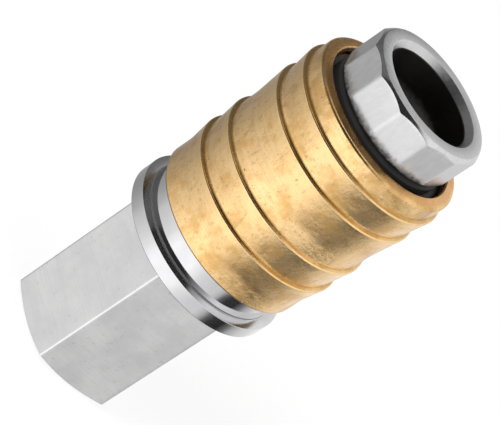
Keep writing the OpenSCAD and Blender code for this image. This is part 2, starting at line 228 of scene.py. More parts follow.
class Tree:
    """Builds one material from short calls, each of which returns the new node's output."""

    def __init__(self, name):
        self.material = bpy.data.materials.new(name)
        self.material.use_nodes = True
        self.tree = self.material.node_tree
        self.shader = self.tree.nodes["Principled BSDF"]
        self.place = self.add("ShaderNodeTexCoord").outputs["Object"]

    def add(self, kind, values=(), **settings):
        """Any node, with its values and settings."""
        return add_node(self.tree, kind, values, **settings)

    def math(self, operation, *values):
        """One step of arithmetic on values or sockets."""
        return self.add("ShaderNodeMath", dict(enumerate(values)), operation=operation).outputs[0]

    def times(self, *values):
        """The product of two or more values."""
        product = values[0]
        for value in values[1:]:
            product = self.math("MULTIPLY", product, value)
        return product

    def most(self, *values):
        """The largest of two or more values."""
        largest = values[0]
        for value in values[1:]:
            largest = self.math("MAXIMUM", largest, value)
        return largest

    def span(self, value, low, high, to_low=0.0, to_high=1.0):
        """Maps a value from low..high to to_low..to_high, smoothly and with an end at both limits."""
        node = self.add("ShaderNodeMapRange", {"Value": value, "From Min": low, "From Max": high,
                        "To Min": to_low, "To Max": to_high}, interpolation_type="SMOOTHSTEP")
        return node.outputs["Result"]

    def rise(self, value, low, high):
        """0 below low, 1 above high; both in mm, because a value of length is in metres."""
        return self.span(value, low * MM, high * MM)

    def fall(self, value, low, high):
        """1 below low, 0 above high; both in mm."""
        return self.span(value, low * MM, high * MM, 1.0, 0.0)

    def noise(self, vector, scale, detail, rough=0.55):
        """Clouds from 0 to 1; the scale is in clouds per metre."""
        return self.add("ShaderNodeTexNoise", {"Vector": vector, "Scale": scale, "Detail": detail,
                        "Roughness": rough}).outputs["Fac"]

    def stretched(self, x, y, z):
        """Object coordinates with another scale on each axis."""
        return self.add("ShaderNodeMapping", {"Vector": self.place, "Scale": (x, y, z)}).outputs[0]

    def radius(self):
        """The distance from the axis, in metres."""
        flat = self.add("ShaderNodeVectorMath", {0: self.place, 1: (1, 1, 0)}, operation="MULTIPLY")
        return self.add("ShaderNodeVectorMath", {0: flat.outputs[0]}, operation="LENGTH").outputs["Value"]

    def height(self):
        """The height along the axis, in metres."""
        return self.add("ShaderNodeSeparateXYZ", {0: self.place}).outputs["Z"]

    def lathe_lines(self, fine, slow=60.0):
        """Noise at (slow x, slow y, fine (height + radius)): lines that run round the axis."""
        reach = self.times(self.math("ADD", self.height(), self.radius()), fine)
        parts = self.add("ShaderNodeSeparateXYZ", {0: self.stretched(slow, slow, slow)}).outputs
        lined = self.add("ShaderNodeCombineXYZ", {0: parts["X"], 1: parts["Y"], 2: reach}).outputs[0]
        return self.noise(lined, 1.0, 2.0, 0.6)

    def mix(self, share, first, second):
        """The first colour where share is 0, and the second where it is 1."""
        return self.add("ShaderNodeMix", {0: share, 6: first, 7: second}, data_type="RGBA").outputs[2]

    def bump(self, height, strength, depth, below=None):
        """The normal of a relief of this depth in mm, laid over the relief below it."""
        values = {"Height": height, "Strength": strength, "Distance": depth * MM}
        if below is not None:
            values["Normal"] = below
        return self.add("ShaderNodeBump", values).outputs[0]

    def surface(self, **values):
        """Sets the shader's inputs, whose names are written with _ for each space."""
        for key, value in values.items():
            put_value(self.tree, self.shader.inputs[key.replace("_", " ")], value)
        return self.material


def tone(r, g, b):
    """A colour for a socket."""
    return (r, g, b, 1.0)


def grey(light):
    """A neutral colour for a socket."""
    return tone(light, light, light)

# %% [markdown]
# ## Stations of the coupler
# The finishes and the outlines need the same places on the coupler: heights along the axis from the
# inlet's end, and radii from the axis, both in mm. They are the CAD's own numbers.

# %% Stations and radii
COLLAR_REAR, COLLAR_FRONT, COLLAR_R = 26.1, 28.5, 14.4
CYLINDER_R, BARREL_R, BARREL_Z = 12.8, 11.4, 35.1
SLEEVE_REAR, SLEEVE_FRONT, STEP_Z = 32.45, 62.35, (40.1, 45.35, 54.4, 59.3)
STOP_REAR, STOP_FRONT, NOSE_REAR, NOSE_FACE = 60.1, 61.1, 62.85, 69.8
NOSE_R, NOSE_FACE_R, SOCKET_R, POCKET_BORE_R = 11.1, 10.4, 7.88, 8.08
SEAT_REAR, SEAL_REAR, LAND_REAR = 42.1292, 47.1292, 49.5292
BALL_Z, BALL_R, BALL_ORBIT = 53.3292, 2.38, 9.02
BAND_R, RIDGE, LIP = 14.0, 0.55, 0.25
print("collar", COLLAR_REAR, "to", COLLAR_FRONT, "sleeve", SLEEVE_REAR, "to", SLEEVE_FRONT, "steps", STEP_Z)

# %% [markdown]
# ## Steel finishes
# The body is plated and polished at the collar, and turned and milled at the nose. The plating is
# nearly colourless, so its look comes from what it reflects. Fine lathe lines, faint waves and a few
# rubbed patches keep the reflections from looking like glass. Black grease has dried along the
# collar's rear edge. Shade is painted nearly black into the neck round the nose and into the corner at
# the foot of the polished cylinder, and the socket's bore is painted dark as shade. Where grease or
# painted shade lies, the metallic share, the shine and the colour go down together.

# %% Polished steel of the body
def polished_steel():
    """Plate on the collar and cylinder, milled nose, a dull bore painted dark as shade, painted shade in
    the neck and at the cylinder's foot, and grease on the collar's rear edge.
    """
    t = Tree("polished steel")
    height, radius = t.height(), t.radius()
    cloud = t.noise(t.place, 240.0, 4.0, 0.6)
    specks = t.noise(t.place, 1500.0, 3.0, 0.6)
    streaks = t.noise(t.stretched(1500.0, 1500.0, 500.0), 1.0, 3.0, 0.6)

    nose = t.rise(height, NOSE_REAR - 0.65, NOSE_REAR + 0.15)
    bore = t.times(t.fall(radius, 8.0, 8.3), t.fall(height, NOSE_FACE - 1.3, NOSE_FACE - 0.9))
    mouth = t.times(t.fall(radius, 8.5, 8.7), t.rise(height, NOSE_FACE - 1.1, NOSE_FACE - 0.8))
    chamfer = t.times(t.rise(height, NOSE_FACE - 0.8, NOSE_FACE - 0.7),
                      t.rise(radius, NOSE_FACE_R, NOSE_FACE_R + 0.02))
    collar_face = t.times(t.rise(height, COLLAR_FRONT - 0.08, COLLAR_FRONT - 0.02),
                          t.fall(height, COLLAR_FRONT + 0.02, COLLAR_FRONT + 0.08))

    # Painted shade: the neck between the sleeve and the nose's flats, with an uneven edge, and the corner
    # at the foot of the polished cylinder are darkened nearly to black. Only the collar's rear edge gets
    # grease.
    uneven = t.math("ADD", height, t.times(t.math("SUBTRACT", specks, 0.5), 1.2 * MM))
    neck_shade = t.times(t.rise(height, STOP_REAR - 0.1, STOP_REAR + 0.1),
                     t.fall(uneven, NOSE_REAR + 0.05, NOSE_REAR + 1.65), 0.97)
    foot = t.times(t.rise(height, COLLAR_FRONT + 0.01, COLLAR_FRONT + 0.06),
                   t.fall(height, COLLAR_FRONT + 0.12, COLLAR_FRONT + 0.3), 0.8)
    edge = t.times(t.fall(height, COLLAR_REAR + 0.08, COLLAR_REAR + 0.18), 0.75)
    grease_and_shade = t.most(neck_shade, foot, edge)

    plate = t.mix(t.span(cloud, 0.35, 0.7), tone(0.68, 0.68, 0.69), tone(0.75, 0.75, 0.76))
    milled = t.mix(t.span(streaks, 0.3, 0.7), tone(0.62, 0.62, 0.625), tone(0.70, 0.70, 0.705))
    metal = t.mix(grease_and_shade, t.mix(nose, plate, milled), tone(0.012, 0.011, 0.010))
    # Painted shade: the socket's bore is coloured nearly black, in clouds.
    bore_shade = t.mix(cloud, tone(0.05, 0.046, 0.045), tone(0.13, 0.12, 0.115))
    metal = t.mix(bore, metal, bore_shade)

    gloss = t.span(cloud, 0.3, 0.75, 0.035, 0.075)
    brushed = t.times(t.math("SUBTRACT", nose, t.times(chamfer, 0.55)),
                      t.span(streaks, 0.3, 0.7, 0.22, 0.30))
    dull = t.most(t.times(bore, 0.2), t.times(mouth, 0.08), t.times(collar_face, 0.12),
                  t.times(grease_and_shade, 0.3))
    rough = t.math("ADD", t.math("ADD", gloss, brushed), dull)
    waves = t.bump(t.noise(t.place, 130.0, 2.0), 0.14, 0.4)
    ridge_strength = t.math("ADD", 0.04, t.times(nose, 0.06))
    ridges = t.bump(t.lathe_lines(9000.0), ridge_strength, 0.04, waves)
    plated = t.math("SUBTRACT", 1.0, t.times(grease_and_shade, 0.9))
    shine = t.math("SUBTRACT", 0.5, t.times(grease_and_shade, 0.45))
    return t.surface(Base_Color=metal, Metallic=plated, Roughness=rough, Specular_IOR_Level=shine,
                     Normal=ridges)


steel_polished = polished_steel()
print("made", steel_polished.name)

# %% [markdown]
# The hexagon is drawn bar with a satin plate: broad soft clouds, marks across and along the flats, and
# small dull flecks. A little dirt has settled in the joint with the collar.

# %% Satin steel of the hexagon
def satin_steel():
    """Bright satin plate with marks across and along, flecks, and a dirty joint."""
    t = Tree("satin steel")
    along = t.noise(t.stretched(900.0, 900.0, 60.0), 1.0, 4.0, 0.65)
    across = t.noise(t.stretched(160.0, 160.0, 3400.0), 1.0, 4.0, 0.7)
    cloud = t.noise(t.place, 150.0, 5.0, 0.65)
    fleck = t.noise(t.place, 1300.0, 3.0, 0.6)
    bright = t.mix(t.span(cloud, 0.3, 0.72), grey(0.765), tone(0.88, 0.88, 0.875))
    marked = t.mix(t.span(across, 0.42, 0.72, 0.0, 0.35), bright, grey(0.70))
    flecked = t.mix(t.span(fleck, 0.60, 0.74, 0.0, 0.40), marked, grey(0.52))
    joint = t.times(t.rise(t.height(), COLLAR_REAR - 0.2, COLLAR_REAR - 0.08), 0.85)
    metal = t.mix(joint, flecked, tone(0.06, 0.058, 0.055))
    rough = t.math("ADD", t.span(cloud, 0.3, 0.7, 0.30, 0.40), t.span(along, 0.3, 0.7, 0.0, 0.06))
    grain = t.bump(across, 0.11, 0.03)
    soft = t.bump(along, 0.08, 0.1, grain)
    pits = t.bump(fleck, 0.10, 0.06, soft)
    return t.surface(Base_Color=metal, Metallic=1.0, Roughness=rough, Normal=pits)


steel_satin = satin_steel()
print("made", steel_satin.name)

# %% [markdown]
# ## Brass finishes
# Turned brass is satin, and it has been handled: brown tarnish in clouds, smears along the axis, small
# pits and faint dents that break up the highlight. Hands rub the lips bright and the front end has gone
# brown, while shade is painted dark into the corner at the foot of each step and onto the rear end next
# to the collar. So the material starts from clean brass and lays one stain or painted shade after
# another over it, each with its own pattern as a mask.

# %% Sleeve brass
def step_foot_shade(t, height):
    """1 in the narrow corner at the foot of each step, where shade is painted, 0 away from it."""
    corners = [t.fall(t.math("ABSOLUTE", t.math("SUBTRACT", height, (z + 0.05) * MM)), 0.05, 0.26)
               for z in STEP_Z]
    return t.most(*corners)


def sleeve_brass():
    """Clean turned brass, tarnished step by step, with rubbed lips, a brown front end, and painted shade in
    the step corners and on the rear end.
    """
    t = Tree("sleeve brass")
    height = t.height()
    cloud = t.noise(t.place, 210.0, 6.0, 0.66)
    patch = t.noise(t.place, 90.0, 4.0, 0.6)
    speck = t.noise(t.place, 2600.0, 2.0, 0.5)
    scuff = t.noise(t.place, 900.0, 6.0, 0.75)
    smear = t.noise(t.stretched(480.0, 480.0, 110.0), 1.0, 5.0, 0.7)
    lines = t.lathe_lines(7000.0)

    metal = t.mix(t.span(lines, 0.35, 0.7), tone(0.965, 0.63, 0.287), tone(0.995, 0.71, 0.37))
    for pattern, low, high, share, stain in (
            (cloud, 0.46, 0.64, 0.85, tone(0.79, 0.475, 0.168)),
            (patch, 0.50, 0.68, 0.60, tone(0.56, 0.32, 0.105)),
            (scuff, 0.54, 0.66, 0.50, tone(0.56, 0.33, 0.115)),
            (smear, 0.56, 0.72, 0.55, tone(0.42, 0.25, 0.08)),
            (speck, 0.66, 0.74, 0.65, tone(0.26, 0.15, 0.05))):
        metal = t.mix(t.span(pattern, low, high, 0.0, share), metal, stain)

    # Painted shade: the corner at the foot of each step is coloured darker brown, in clouds.
    step_shade = t.times(step_foot_shade(t, height), t.span(cloud, 0.25, 0.6, 0.25, 0.8))
    lips = t.times(t.rise(t.radius(), BAND_R + 0.36, BAND_R + 0.46), t.span(scuff, 0.35, 0.55, 0.3, 0.75))
    front = t.times(t.rise(height, SLEEVE_FRONT - 0.23, SLEEVE_FRONT - 0.13), 0.8)
    # Painted shade: the rear end next to the collar is coloured almost black.
    rear_shade = t.times(t.fall(height, SLEEVE_REAR + 0.15, SLEEVE_REAR + 0.35), 0.85)
    # The step corners and the rear end get painted shade, the lips rubbed brass and the front end brown
    # tarnish.
    for share, colour in ((step_shade, tone(0.58, 0.37, 0.11)), (lips, tone(0.98, 0.68, 0.33)),
                          (front, tone(0.74, 0.38, 0.115)), (rear_shade, tone(0.13, 0.075, 0.03))):
        metal = t.mix(share, metal, colour)

    rough = t.math("ADD", t.span(cloud, 0.3, 0.75, 0.20, 0.34), t.times(step_shade, 0.10))
    rough = t.math("SUBTRACT", rough, t.times(lips, 0.10))
    dents = t.bump(t.noise(t.place, 380.0, 4.0, 0.6), 0.38, 0.26)
    rubbed = t.bump(scuff, 0.25, 0.08, dents)
    pits = t.bump(t.span(speck, 0.68, 0.76, 1.0, 0.0), 0.25, 0.04, rubbed)
    ridges = t.bump(lines, 0.12, 0.04, pits)
    return t.surface(Base_Color=metal, Metallic=1.0, Roughness=rough, Normal=ridges,
                     Coat_Weight=0.12, Coat_Roughness=0.1)


brass_sleeve = sleeve_brass()
print("made", brass_sleeve.name)

# %% Brass of the valve's pieces
def valve_brass():
    """Turned brass that nobody touches: lathe lines and light clouds only."""
    t = Tree("valve brass")
    cloud = t.noise(t.place, 300.0, 4.0, 0.6)
    lines = t.lathe_lines(8000.0)
    metal = t.mix(t.span(cloud, 0.35, 0.7), tone(0.83, 0.63, 0.33), tone(0.72, 0.50, 0.23))
    metal = t.mix(t.span(lines, 0.45, 0.75, 0.0, 0.4), metal, tone(0.90, 0.72, 0.44))
    return t.surface(Base_Color=metal, Metallic=1.0, Roughness=t.span(cloud, 0.3, 0.75, 0.20, 0.32),
                     Normal=t.bump(lines, 0.15, 0.03))


brass_valve = valve_brass()
print("made", brass_valve.name)

# %% [markdown]
# ## Rubber, springs, the black ring and the balls
# The seals are matt black nitrile rubber with a moulding bloom. The springs are drawn wire with
# lines along it. The stop ring is blackened, and the balls are polished bearing steel.

# %% Rubber, wire, black steel and ball steel
def seal_rubber():
    """Matt black with a pale bloom and a fine skin."""
    t = Tree("seal rubber")
    bloom = t.noise(t.place, 700.0, 4.0, 0.6)
    colour = t.mix(t.span(bloom, 0.4, 0.75), tone(0.018, 0.018, 0.019), tone(0.045, 0.045, 0.047))
    skin = t.bump(t.noise(t.place, 5200.0, 2.0), 0.2, 0.04)
    return t.surface(Base_Color=colour, Roughness=t.span(bloom, 0.3, 0.7, 0.5, 0.68), Normal=skin)


def spring_steel():
    """Grey drawn wire."""
    t = Tree("spring steel")
    cloud = t.noise(t.place, 350.0, 4.0, 0.6)
    drawn = t.noise(t.stretched(400.0, 400.0, 7000.0), 1.0, 2.0)
    metal = t.mix(t.span(cloud, 0.35, 0.7), tone(0.42, 0.425, 0.43), tone(0.58, 0.585, 0.59))
    return t.surface(Base_Color=metal, Metallic=1.0, Roughness=t.span(drawn, 0.3, 0.7, 0.2, 0.34),
                     Normal=t.bump(drawn, 0.15, 0.03))


def black_steel():
    """Steel blackened in a bath, hardly shining."""
    t = Tree("black steel")
    cloud = t.noise(t.place, 500.0, 4.0, 0.6)
    metal = t.mix(t.span(cloud, 0.35, 0.7), tone(0.009, 0.009, 0.010), tone(0.024, 0.024, 0.026))
    return t.surface(Base_Color=metal, Metallic=0.3, Roughness=t.span(cloud, 0.3, 0.7, 0.38, 0.5),
                     Specular_IOR_Level=0.3,
                     Normal=t.bump(t.noise(t.place, 4000.0, 2.0), 0.12, 0.03))


def ball_steel():
    """Ground and polished, nearly a mirror."""
    t = Tree("ball steel")
    cloud = t.noise(t.place, 400.0, 3.0, 0.5)
    metal = t.mix(t.span(cloud, 0.35, 0.7), tone(0.74, 0.745, 0.75), tone(0.82, 0.825, 0.83))
    return t.surface(Base_Color=metal, Metallic=1.0, Roughness=t.span(cloud, 0.3, 0.7, 0.05, 0.10),
                     Normal=t.bump(t.noise(t.place, 2500.0, 2.0), 0.03, 0.03))


rubber, steel_spring, steel_black, steel_ball = seal_rubber(), spring_steel(), black_steel(), ball_steel()
print("made", rubber.name, steel_spring.name, steel_black.name, steel_ball.name, sep=", ")

# %% [markdown]
# ## The coupler body
# One piece: collar, polished cylinder, barrel, nose and socket. The nose is a twelve-sided bar turned
# at both ends, so in every half plane its outline has another radius: half of the flats' width,
# divided by the cosine of the angle from the flat's middle. The chamfers follow that radius, which
# draws the crescents between flats and face. The nose's corners are broken by a hair, as a file leaves
# them. The eight ball pockets are cut afterwards.

# %% Body outline, angle by angle
def flats_radius(angle, corner_radius, sides, first_corner=0.0):
    """Apothem / cos(angle from the nearest flat's middle): the radius of a regular bar at an angle."""
    step = 2 * math.pi / sides
    off = np.mod(angle - first_corner, step) - step / 2
    return corner_radius * math.cos(step / 2) / np.cos(off)


def body_outline(radius):
    """The body's corners (radius, height, ease) in the half plane where the nose has this radius."""
    outside = [
        (10.9, COLLAR_REAR, 0.05), (COLLAR_R - 0.1, COLLAR_REAR, 0.06), (COLLAR_R, COLLAR_REAR + 0.1, 0.06),
        (COLLAR_R, COLLAR_FRONT, 0.07),
        *arc_points((CYLINDER_R + 0.15, COLLAR_FRONT + 0.15), 0.15, -90, -180, 4, 0.01),
        (CYLINDER_R, BARREL_Z - 0.3, 0.05), (CYLINDER_R - 0.3, BARREL_Z, 0.05), (BARREL_R, BARREL_Z, 0.03),
        (BARREL_R, STOP_REAR, 0.05), (10.5, STOP_REAR, 0.03), (10.5, STOP_FRONT, 0.03),
        (10.85, STOP_FRONT, 0.06), (10.85, NOSE_REAR - 0.6, 0.08), (10.5, NOSE_REAR - 0.2, 0.08),
        (10.5, NOSE_REAR, 0.08), (radius, NOSE_REAR + radius - 10.5, 0.06),
        (radius, NOSE_FACE - 0.8 * (radius - NOSE_FACE_R) / 0.7, 0.06), (NOSE_FACE_R, NOSE_FACE, 0.07)]
    inside = [
        (8.56, NOSE_FACE, 0.07), (SOCKET_R, NOSE_FACE - 1.0, 0.07), (SOCKET_R, 55.96, 0.03),
        (POCKET_BORE_R, 55.76, 0.03), (POCKET_BORE_R, LAND_REAR, 0.05), (9.6, LAND_REAR, 0.05),
        (9.6, 32.1, 0.05), (10.5, 31.7, 0.05), (10.5, COLLAR_REAR + 0.4, 0.05)]
    return outside + inside


def outlines_by_radius(outline_of, radii):
    """One eased outline per angle, worked out once for each different radius: angles x corners x 2."""
    kinds, which = np.unique(radii.round(6), return_inverse=True)
    print(len(kinds), "different outlines at", len(radii), "angles")
    return np.stack([eased(outline_of(r), 3) for r in kinds])[which]


NOSE_SIDES, NOSE_CORNER_BROKEN = 12, 0.03
body_angle = full_turn(360)
nose_radius = np.minimum(flats_radius(body_angle, NOSE_R, NOSE_SIDES), NOSE_R - NOSE_CORNER_BROKEN)
body_grid = around_axis(outlines_by_radius(body_outline, nose_radius), body_angle)
body = grid_piece("coupler_body_dressed", body_grid, steel_polished, 30)
print("body grid", body_grid.shape)

# %% [markdown]
# ### Cutting pockets
# A cutter that is a ball with a straight shank is the real tool for a ball pocket. Eight of them are
# subtracted from the body with an exact Boolean, and the result replaces the mesh.

# %% Cutter and carving
def cutter_points(reach, section, rows=16, around=48):
    """Half a ball at the origin that goes over into a straight shank along +X, as a grid of rings."""
    t = np.linspace(0, math.pi / 2, rows)
    x = np.concatenate([-section * np.cos(t), [reach]])
    r = np.concatenate([section * np.sin(t), [section]])
    a = full_turn(around)[:, None]
    return np.stack([np.broadcast_to(x, (around, len(x))), np.cos(a) * r, np.sin(a) * r], -1)


def carve(piece, tool_points, tool_faces):
    """Subtracts a closed mesh from a piece and keeps the result as the piece's own mesh."""
    tool_mesh = bpy.data.meshes.new("tool")
    tool_mesh.from_pydata((tool_points * MM).tolist(), [], tool_faces)
    tool = bpy.data.objects.new("tool", tool_mesh)
    bpy.context.scene.collection.objects.link(tool)
    cut = piece.modifiers.new("cut", "BOOLEAN")
    cut.operation, cut.solver, cut.object = "DIFFERENCE", "EXACT", tool
    piece.modifiers.move(len(piece.modifiers) - 1, 0)
    weighted = piece.modifiers["weighted normals"]
    weighted.show_viewport = False
    bpy.context.view_layer.update()
    piece.data = bpy.data.meshes.new_from_object(
        piece.evaluated_get(bpy.context.evaluated_depsgraph_get()))
    piece.modifiers.remove(cut)
    weighted.show_viewport = True
    bpy.data.objects.remove(tool)
    finish_mesh(piece, 30)
    print(piece.name, "carved, now", len(piece.data.polygons), "faces")


def about_axis(points, degrees):
    """(x cos a - y sin a, x sin a + y cos a, z): points turned about the axis."""
    cos, sin = math.cos(math.radians(degrees)), math.sin(math.radians(degrees))
    x, y, z = points.T
    return np.stack([x * cos - y * sin, x * sin + y * cos, z], -1)


CUTTER_REACH, POCKET_R = 12.0, BALL_R + 0.05
cutter = cutter_points(CUTTER_REACH, POCKET_R)
print("a cutter has", cutter.shape, "points for a pocket of radius", round(POCKET_R, 2), "mm")

# %% Eight ball pockets
BALL_TURNS = [45 * k for k in range(8)]
cutter_rows, cutter_columns = cutter.shape[:2]
cutter_skin = wrap_faces(cutter_rows, cutter_columns, True, False)[:, ::-1]
cutter_end = (np.arange(cutter_rows) * cutter_columns + cutter_columns - 1)[::-1]
cutter = (cutter + [BALL_ORBIT, 0, BALL_Z]).reshape(-1, 3)
pocket_faces = []
for k in range(len(BALL_TURNS)):
    pocket_faces += (cutter_skin + k * len(cutter)).tolist() + [(cutter_end + k * len(cutter)).tolist()]
carve(body, np.concatenate([about_axis(cutter, turn) for turn in BALL_TURNS]), pocket_faces)
dress(body, "root", "polished_steel", "coupler_body")

# %% [markdown]
# ## The inlet connector
# A hexagonal bar, bored and threaded. Its female pipe thread is a real helix here: the bore's radius
# grows with a rounded wave whose phase is height / pitch minus angle / full turn. The hexagon's end
# is chamfered by a cone, and its six edges are broken by a small radius. Extra columns beside each edge
# give that radius its points. The outline's last corner is the thread's lower end, so the thread's
# points go in just before the four points of that corner.

# %% Hexagon and thread as radii
PITCH, THREAD_DEPTH, THREAD_R, THREAD_END, HEX_HALF = 1.337, 0.856, 7.475, 12.0, 11.0


def hexagon_radius(angle, broken=0.07, blend=0.06):
    """The radius of the hexagonal bar, held back smoothly near its corners where the edges are broken."""
    corner = HEX_HALF / math.cos(math.pi / 6)
    bar = flats_radius(angle, corner, 6, math.pi / 6)
    knee = corner - broken - blend
    return np.where(bar > knee, knee + blend * np.tanh((bar - knee) / blend), bar)


def thread_radius(angle, z):
    """Minor radius + depth x rounded wave of (z / pitch - angle / turn), faded out at both ends."""
    phase = 2 * math.pi * (z / PITCH - angle / (2 * math.pi))
    wave = 0.5 + 0.5 * np.tanh(1.6 * np.cos(phase)) / math.tanh(1.6)
    fade = np.clip((z - 1.0) / 0.7, 0, 1) * np.clip((THREAD_END - z) / 1.4, 0, 1)
    return THREAD_R + THREAD_DEPTH * wave * fade * fade * (3 - 2 * fade)


def connector_outline(radius):
    """The connector's corners outside the thread, where the hexagon has this radius."""
    corners = [
        (8.475, 0.0, 0.08), (10.3, 0.0, 0.10), (radius, (radius - 10.3) * math.tan(math.radians(25)), 0.10),
        (radius, COLLAR_REAR, 0.08)]
    corners += [(r, z, 0.05) for r, z in (
        (9.9, COLLAR_REAR), (9.9, 26.7), (10.45, 27.3), (10.45, 31.1), (9.55, 31.5), (9.55, 32.5),
        (8.15, 32.5), (8.15, 34.3), (9.55, 34.3), (9.55, SEAT_REAR), (9.0, SEAT_REAR), (9.0, BARREL_Z),
        (7.4, BARREL_Z - 0.6), (7.4, 28.1), (6.6, 28.1), (6.6, 13.0), (THREAD_R, THREAD_END),
        (THREAD_R, 1.0))]
    return corners


print("hexagon from", HEX_HALF, "to", hexagon_radius(np.array([math.pi / 6])).round(2), "mm from the axis")

# %% Connector with its screw thread
near_corner = (30 + 60 * np.arange(6))[:, None] + np.array([-0.75, -0.5, -0.3, -0.15, 0.15, 0.3, 0.5, 0.75])
hex_angle = np.radians(np.sort(np.concatenate([np.arange(240) * 1.5, near_corner.ravel()])))
plain = outlines_by_radius(connector_outline, hexagon_radius(hex_angle))
thread_z = np.linspace(THREAD_END - 0.1, 1.1, 130)
thread_r = thread_radius(hex_angle[:, None], thread_z[None, :])
thread = np.stack([thread_r, np.broadcast_to(thread_z, thread_r.shape)], -1)
LAST_CORNER = 4
columns = np.concatenate([plain[:, :-LAST_CORNER], thread, plain[:, -LAST_CORNER:]], 1)
connector = grid_piece("inlet_connector_dressed", around_axis(columns, hex_angle), steel_satin)
dress(connector, "root", "satin_steel", "inlet_connector")

# %% [markdown]
# ## The release sleeve
# Four grip ridges, each a cone that rises to a rounded lip and drops in a step. The outline repeats
# one band, a long and a short one in turn, rounds the front edge and closes through the sleeve's bore:
# opening, guide lip, release groove, ramp and land.

# %% Sleeve
def grip_band(z0, z1, straight):
    """Straight stretch, cone up to the lip, the lip's arc and the foot of the step, as corners."""
    lip = (BAND_R + RIDGE - LIP, z1 - 0.1 - LIP)
    return [(BAND_R, z0, 0.05), (BAND_R, z0 + straight, 0.6), *arc_points(lip, LIP, -8, 78, 7, 0.01),
            (BAND_R, z1, 0.03)]


bands = [corner for start, step_z, straight in zip(
    (SLEEVE_REAR + 0.35, *(z + 0.1 for z in STEP_Z[:-1])), STEP_Z, (3.0, 0.4, 3.0, 0.4))
    for corner in grip_band(start, step_z, straight)]
sleeve_bore = [(r, z, 0.05) for r, z in (
    (12.15, SLEEVE_FRONT), (11.95, SLEEVE_FRONT - 0.2), (11.95, STOP_REAR), (11.46, STOP_REAR),
    (11.46, 59.0), (12.8, 59.0), (12.8, 56.4112), (11.46, 52.9066), (11.46, LAND_REAR), (12.86, LAND_REAR))]
sleeve_corners = [
    (12.86, SLEEVE_REAR + 0.445, 0.04), (13.305, SLEEVE_REAR, 0.04),
    *arc_points((BAND_R - 0.25, SLEEVE_REAR + 0.25), 0.25, -90, 0, 5, 0.01), *bands,
    (13.95, STEP_Z[-1] + 0.1, 0.05), *arc_points((13.45, 61.66), 0.5, 0, 82, 7, 0.01), *sleeve_bore]
sleeve = turned("release_sleeve_dressed", eased(sleeve_corners, 3), brass_sleeve, 336)
dress(sleeve, "sleeve", "sleeve_brass", "release_sleeve")

# %% [markdown]
# ## Rings, seals and balls
# The same turned surface makes the valve seat, the seals and the thrust ring. The stop ring is open,
# so its section is carried round from one side of a gap to the other and gets a cap at each end. A ball
# is half a circle carried round the line through its poles, and eight of them stand in the pockets.

# %% Seat ring, seals, thrust ring
def o_ring_section(radius, height, half):
    """A circle of 24 points round (radius, height)."""
    return eased(arc_points((radius, height), half, 0, 345, 23, 0.01), 1)


seat_section = eased([
    (7.55, SEAT_REAR, 0.04), (9.55, SEAT_REAR, 0.08), (9.55, SEAL_REAR, 0.08),
    (POCKET_BORE_R, SEAL_REAR, 0.08), (POCKET_BORE_R, 44.5292, 0.06), (6.6, 44.5292, 0.10),
    (6.6, 43.0792, 0.05)])
seal_section = eased([
    (9.55, SEAL_REAR, 0.12), (9.55, LAND_REAR, 0.12), (8.5, LAND_REAR, 0.08),
    *arc_points((8.5, 48.3292), 1.0, 90, 270, 16, 0.01), (8.5, SEAL_REAR, 0.08)])
thrust_section = ring_section(11.5, 12.76, LAND_REAR - 1.0, LAND_REAR, 0.15)
for node, section, around, body_name, material, slot in (
        ("valve_seat_ring", seat_section, 144, "root", brass_valve, "valve_brass"),
        ("plug_seal", seal_section, 144, "root", rubber, "seal_rubber"),
        ("connector_o_ring", o_ring_section(8.85, 33.4, 0.7), 120, "root", rubber, "seal_rubber"),
        ("valve_o_ring", o_ring_section(6.6, 41.9478, 0.75), 120, "valve", rubber, "seal_rubber"),
        ("thrust_ring", thrust_section, 180, "sleeve_carrier", steel_spring, "spring_steel")):
    dress(turned(node + "_dressed", section, material, around), body_name, slot, node)

# %% Open stop ring
STOP_GAP, STOP_GAP_AT = 16.4, 90.0
stop_angle = np.radians(np.linspace(STOP_GAP_AT + STOP_GAP / 2, STOP_GAP_AT + 360 - STOP_GAP / 2, 160))
stop_grid = around_axis(ring_section(10.5, 11.75, STOP_REAR, STOP_FRONT, 0.18), stop_angle)
stop = grid_piece("stop_ring_dressed", stop_grid, steel_black, close_rows=False)
dress(stop, "root", "black_steel", "stop_ring")

# %% Locking balls
half_turn = np.linspace(math.pi, 0, 24)
ball_outline = BALL_R * np.stack([np.sin(half_turn), np.cos(half_turn)], -1)
ball_grid = around_axis(ball_outline, full_turn(48)) + [0, 0, BALL_Z]
for k, turn in enumerate(BALL_TURNS):
    out = BALL_ORBIT * np.array([math.cos(math.radians(turn)), math.sin(math.radians(turn)), 0])
    ball = grid_piece(f"locking_ball_{k + 1}_dressed", ball_grid + out, steel_ball, 60, close_columns=False)
    dress(ball, f"ball_{k + 1}", "ball_steel", f"locking_ball_{k + 1}")

# %% [markdown]
# ## The valve poppet and the guide
# The poppet is turned, with a groove for its O-ring in the cone and a crown that two crossing slots
# open for the air. The slots are cut with the same Boolean. The guide's CAD shape is right as it is,
# so that node stays and only gets its brass.

